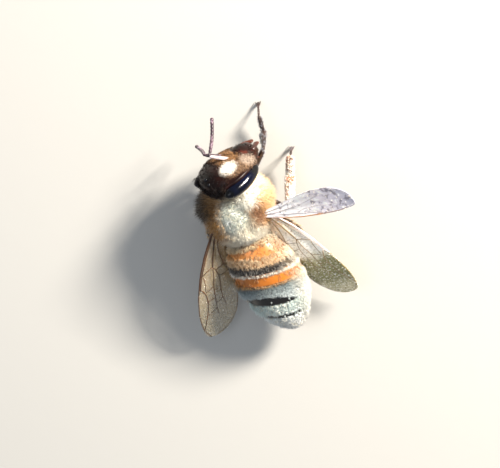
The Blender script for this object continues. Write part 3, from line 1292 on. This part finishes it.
legs = {}
for leg in ("fore_right", "fore_left", "mid_right", "mid_left", "hind_right", "hind_left"):
    legs[leg] = settle(buildLeg(leg), legChitin, "leg_cuticle", *legNodes(leg))
print("legs in place")

# The coat, piece by piece.

def softStep(values, low, high):
    part = np.clip((values - low) / (high - low), 0, 1)
    return part * part * (3 - 2 * part)


def inOval(places, centre, size):
    return 1 - softStep(np.linalg.norm((places - centre) / size, axis=1), 0.8, 1.2)


# Each patch adds to the length: how much, its middle and its half sizes.
thoraxCoat = dict(
    lie=(0.25, 0.9, -0.25),                         # outwards, back and down
    length=0.54, patches=(
        (-0.24, (0.15, -0.45, 1.9), (0.9, 1.2, 0.9)),   # the middle of the back is rubbed short
        (0.36, (-1.5, -1.6, 0.4), (1.2, 1.0, 1.4)),     # longer behind the right cheek
        (0.46, (1.8, -1.80, 0.4), (1.0, 0.85, 1.3))),   # and longest beside the left
    lift=(0.85, 0.65), collar=(1.05, 1.55), rear=1.45,
    hair=dict(count=19800, inTuft=6, bend=0.75, width=0.018, tuft=0.05, stray=0.5, loose=0.22))


def thoraxLie(places):
    aside, back, down = thoraxCoat["lie"]
    lie = np.stack([places[:, 0] * aside, np.full(len(places), back), np.full(len(places), down)], axis=1)
    return lie @ np.array(beeTurn).T


def thoraxLength(places):
    return sum((more * inOval(places, centre, size) for more, centre, size in thoraxCoat["patches"]),
               thoraxCoat["length"])


def thoraxLift(places):
    # The hair of the collar stands up and reaches forward round the head.
    low, more = thoraxCoat["lift"]
    return low + more * softStep(-places[:, 1], *thoraxCoat["collar"])


def thoraxKeep(places):
    return np.where(places[:, 1] < thoraxCoat["rear"], 1.0, 0.0)


for layer in (1, 2, 3):
    growCoat("thorax_coat_%d" % layer, [thorax], dict(
        thoraxCoat["hair"], seed=10 + layer, places=beePlaces, lie=thoraxLie, length=thoraxLength,
        lift=thoraxLift, unroll=unrollBarrel, keep=thoraxKeep), thoraxHair)


def abdomenLie(places):
    return np.array([beeTurn @ abdomenTurn(place) @ Vector((0, 1, 0)) for place in places[:, 1]])


# Toward the flanks the hair is thicker, longer and more lifted: each ends with where that starts and is full.
flankShape = dict(chance=(0.45, 0.45, 0.80), bare=0.005, length=(0.55, 0.95),
                  lift=(0.42, 0.5, 0.65, 0.95), inside=0.075)


def bandKeep(*stops, taper=0.0, taperFrom=3.5):
    # The chance of a hair, from stops along the abdomen; a taper moves the rear ones back on the bee's right,
    # and parts of a plate under its neighbour stay bare.
    stops = np.array(stops)
    rings = np.array(abdomenShape["rings"])
    more, low, high = flankShape["chance"]

    def keep(places):
        height = np.interp(places[:, 1], rings[:, 0], rings[:, 2:].mean(axis=1))
        reach = np.hypot(places[:, 0], places[:, 2])
        outside = reach > 1 - (abdomenShape["coat"] + flankShape["inside"]) / height
        moved = places[:, 1] - taper * np.clip(places[:, 0], 0, 1)
        moved = np.maximum(moved, np.minimum(places[:, 1], taperFrom))
        chance = np.interp(moved, stops[:, 0], stops[:, 1])
        flank = more * softStep(places[:, 0], low, high) * (chance > flankShape["bare"])
        return np.maximum(chance, flank) * outside
    return keep


def fringe(base, side):
    return lambda places: base + side * softStep(np.abs(places[:, 0]), *flankShape["length"])


def flankLift(places):
    base, more, low, high = flankShape["lift"]
    return base + more * softStep(np.abs(places[:, 0]), low, high)


bandCoats = (
    dict(seed=21, count=16000, inTuft=5, length=fringe(0.24, 0.10), lift=0.42, keep=bandKeep(
        (-0.2, 0.9), (0.3, 0.8), (0.36, 0.12), (0.74, 0.20), (0.86, 0.9), (1.5, 0.9), (1.58, 0.35),
        (2.0, 0.35), (2.06, 0.9), (2.16, 0.9), (2.2, 0.06), (2.8, 0.06), (2.9, 0.3), (2.94, 0))),
    dict(seed=22, count=19800, inTuft=6, length=fringe(0.16, 0.26), lift=flankLift, keep=bandKeep(
        (2.88, 0), (2.92, 0.7), (3.0, 0.7), (3.5, 1.0), (3.70, 1.0), (3.76, 0.006), (4.42, 0.006), (4.43, 0),
        taper=0.8)),
    dict(seed=23, count=19800, inTuft=6, length=fringe(0.20, 0.20), lift=flankLift, keep=bandKeep(
        (4.42, 0), (4.48, 1.0), (5.20, 1.0), (5.26, 0.02), (5.56, 0.02), (5.60, 1.0), (6.9, 1.0))))
for number, shape in enumerate(bandCoats, 1):
    shape.update(places=abdomenPlaces, lie=abdomenLie, unroll=unrollBarrel, width=0.013, tuft=0.03)
    growCoat("abdomen_coat_%d" % number, plates, shape, bandHair)


# Ovals are a middle and half sizes; back is the least length behind, how much more, and where that starts
# and is full, sideways and then up.
headCoat = dict(
    backFrom=(-0.5, 0.3), backAbove=(1.0, 1.5), aside=0.5, down=(-1.0, 0.6),
    mouth=((0, -1.1, -1.15), (0.85, 0.6, 0.75)), crown=((0.45, -0.4, 1.45), (1.8, 1.2, 0.75)),
    eyes=((0, 0.10, 0.2), (1, 0.62, 1.5)), eyesFrom=(1.30, 1.45), bare=dict(mouth=0.85, crown=0.8),
    back=(0.32, 0.42, 0.3, 1.2, 1.2, 1.6), backKeep=(-0.4, 0.4),
    face=dict(seed=31, count=16000, length=0.17, lift=0.6, bend=0.6, width=0.012, tuft=0.03, stray=0.5),
    behind=dict(seed=32, count=12000, lift=0.8, bend=0.5, width=0.013, tuft=0.04, stray=0.6))


def headLie(places):
    # Down the face in front, and back over the vertex and cheeks.
    back = softStep(places[:, 1], *headCoat["backFrom"]) + softStep(places[:, 2], *headCoat["backAbove"])
    down, level = headCoat["down"]
    local = np.stack([places[:, 0] * headCoat["aside"], back, down + level * back], axis=1)
    return local @ np.array(headTurn).T


def headKeep(places):
    mouth, crown = (share * inOval(places, *headCoat[region]) for region, share in headCoat["bare"].items())
    eyes = inOval(places * (0, 1, 1), *headCoat["eyes"])
    eyes = softStep(np.abs(places[:, 0]), *headCoat["eyesFrom"]) * eyes
    return (1 - mouth) * (1 - eyes) * (1 - crown)


def backLength(places):
    # Longest behind the left eye, where the hair bridges the gap to the thorax.
    base, more, *ends = headCoat["back"]
    return base + more * softStep(places[:, 0], *ends[:2]) * (1 - softStep(places[:, 2], *ends[2:]))


def backKeep(places):
    return headKeep(places) * softStep(places[:, 1], *headCoat["backKeep"])


headCoat["face"].update(keep=headKeep)
headCoat["behind"].update(keep=backKeep, length=backLength)
for number, part in enumerate(("face", "behind"), 1):
    growCoat("head_coat_%d" % number, [head], dict(
        headCoat[part], inTuft=5, loose=0.25, places=headPlaces, lie=headLie, unroll=unrollHead), headHair)


def legFrame(leg):
    # Places on a leg: round it, along it from the hip, and which of its lengths. Then its lie and its map.
    joints = np.array([list(joint) for joint in legJoints(leg)])
    spans = np.diff(joints, axis=0)
    reach = np.linalg.norm(spans, axis=1)
    ways = spans / reach[:, None]
    before = np.concatenate([[0], np.cumsum(reach)])[:-1]

    def places(points):
        along = np.clip(np.einsum("nsk,sk->ns", points[:, None] - joints[None, :-1], ways), 0, reach)
        off = points[:, None] - joints[None, :-1] - along[..., None] * ways[None]
        nearest = np.linalg.norm(off, axis=2).argmin(axis=1)
        row = np.arange(len(points))
        angle = np.arctan2(off[row, nearest, 2], off[row, nearest, 0])
        return np.stack([angle, before[nearest] + along[row, nearest], nearest], axis=1)

    def lie(found):
        return ways[found[:, 2].astype(int)]

    def unroll(found):
        return np.stack([0.5 + found[:, 0] / (2 * pi), found[:, 1] / reach.sum()], axis=1)
    return places, lie, unroll


def keepLengths(*lengths):
    # By number: coxa 0, femur 1, tibia 2, basitarsus 3, foot 4.
    return lambda found: np.isin(found[:, 2], lengths) * 1.0


# Hairs and their length for each leg; the pollen-laden right middle leg has its own coats below.
legCoats = dict(hind=dict(count=2400, length=0.34), fore=dict(count=700, length=0.20),
                mid=dict(count=1500, length=0.26))
hipCoat = dict(seed=51, count=500, length=0.22)
loadedCoat = dict(seed=52, count=3600, length=0.20, lift=0.9, stray=0.9, width=0.018)
loadedGrains = dict(seed=63, count=420, sizes=(0.024, 0.045), height=0.08)
loadedLeg, loaded = "mid_right", keepLengths(2, 3)


def coatLeg(name, leg, made, keep, shape, slotName="body_hair"):
    places, lie, unroll = legFrame(leg)
    plain = dict(inTuft=3, lift=0.6, width=0.012, tuft=0.03, stray=0.4, places=places, lie=lie, unroll=unroll)
    growCoat(name, [legs[leg]], {**plain, "keep": keep, **shape}, made, slotName)


for seed, leg in enumerate(legs, 41):
    if leg != loadedLeg:
        pair = leg.split("_")[0]
        coatLeg("hair_leg_" + leg, leg, greyHair if pair == "fore" else legHair, keepLengths(0, 1, 2, 3),
                dict(legCoats[pair], seed=seed))
coatLeg("hair_leg_" + loadedLeg, loadedLeg, legHair, keepLengths(0), hipCoat)
coatLeg("pollen_leg_" + loadedLeg, loadedLeg, pollenHair, loaded, loadedCoat, "leg_pollen")
legPlaces, _, unrollLeg = legFrame(loadedLeg)
sprinkle("pollen_leg", [legs[loadedLeg]], dict(loadedGrains, places=legPlaces, unroll=unrollLeg, keep=loaded))

# Pollen on the back, the wings and the rear.
patch = ((-0.02, -0.55, 1.9), (0.98, 1.0, 0.9))
dustedBands = ((4.4, 0), (4.5, 0.8), (5.2, 0.8), (5.3, 0), (5.56, 0), (5.64, 1.0), (6.8, 1.0))
sprinkle("pollen_back", [thorax], dict(
    seed=61, count=900, sizes=(0.022, 0.040), places=beePlaces, unroll=unrollBarrel, height=0.12,
    keep=lambda places: inOval(places, *patch)))
sprinkle("pollen_rear", plates, dict(
    seed=62, count=700, sizes=(0.018, 0.034), places=abdomenPlaces, unroll=unrollBarrel, height=0.06,
    keep=bandKeep(*dustedBands)))
wingGrains = dict(
    sizes=(0.014, 0.030), height=0.012, rim=(0.90, 0.96), middle=0.48, half=0.20, rest=(0.3, 0.6),
    wings=(("forewing_right", 300, 1.0, 0.10), ("hindwing_right", 160, 0.3, 0.3),
           ("forewing_left", 50, 0.1, 0.3)))        # how many, and the chances on the edge and off it


def wingKeep(edge, rest):
    # Grains gather on the middle of the leading edge, and the rest lie over the blade's outer part.
    def keep(places):
        near = np.abs(places[:, 0] - wingGrains["middle"]) < wingGrains["half"]
        rim = softStep(places[:, 1], *wingGrains["rim"]) * near
        return np.maximum(edge * rim, rest * softStep(places[:, 0], *wingGrains["rest"]))
    return keep


for seed, (name, count, edge, rest) in enumerate(wingGrains["wings"], 64):
    sprinkle("pollen_" + name, [blades[name]], dict(
        seed=seed, count=count, sizes=wingGrains["sizes"], height=wingGrains["height"],
        places=wingPlaces(name), unroll=unrollSheet, keep=wingKeep(edge, rest)))
print("coat grown")

# Floor, light and camera.

stageShape = dict(
    floor=1.2, colour="#B2B1AE", room=("#E6ECF2", 0.50), aim=(0, -0.001, 0.003),
    lights=dict(key=dict(way=(-0.81, -0.345, 0.472), distance=0.16, size=0.035, power=1.0, colour="#FFF6E8"),
                fill=dict(way=(0.3, -0.3, 0.9), distance=0.2, size=0.12, power=0.09, colour="#EAF2FF")))

floor = added(bpy.ops.mesh.primitive_plane_add, size=stageShape["floor"])
floor.name = "floor"
# Floor: matt paper with a fine tooth, a plain mid grey that takes the soft shadow.
paper = newMaterial("Matt paper", Roughness=0.9, Base_Color=linear(stageShape["colour"]))
bumped(paper, objectNoise(paper, 700.0), 0.1, 0.00005)
floor.data.materials.append(paper)

world = bpy.data.worlds.new("Soft room light")
bpy.context.scene.world = world
world.use_nodes = True
room, strength = stageShape["room"]
background = world.node_tree.nodes["Background"].inputs
background["Color"].default_value, background["Strength"].default_value = linear(room), strength
bpy.context.scene.view_settings.view_transform = "Standard"

for name, light in stageShape["lights"].items():
    way = Vector(light["way"]).normalized()
    lamp = added(bpy.ops.object.light_add, type="AREA",
                 location=way * light["distance"] + Vector(stageShape["aim"]))
    lamp.name = name
    lamp.rotation_mode = "QUATERNION"
    lamp.rotation_quaternion = way.to_track_quat("Z", "Y")
    lamp.data.size, lamp.data.energy = light["size"], light["power"]
    lamp.data.color = linear(light["colour"])[:3]

cameraShape = dict(back=(-0.1632, -0.2099, 0.9640), up=(-0.3138, -0.9153, -0.2524), aside=0.586, below=1.204,
                   distance=300.0, width=30.86, sensor=36.0, clip=(0.01, 10.0))
back, up = Vector(cameraShape["back"]).normalized(), Vector(cameraShape["up"])
right = up.cross(back).normalized()
up = back.cross(right)
target = beeOrigin + right * cameraShape["aside"] - up * cameraShape["below"]
camera = added(bpy.ops.object.camera_add, location=(target + back * cameraShape["distance"]) * mm)
camera.rotation_mode = "QUATERNION"
camera.rotation_quaternion = Matrix((right, up, back)).transposed().to_quaternion()
camera.data.sensor_width = cameraShape["sensor"]
camera.data.lens = cameraShape["sensor"] * cameraShape["distance"] / cameraShape["width"]
camera.data.clip_start, camera.data.clip_end = cameraShape["clip"]
bpy.context.scene.camera = camera

bpy.context.view_layer.update()
print("sizes written")
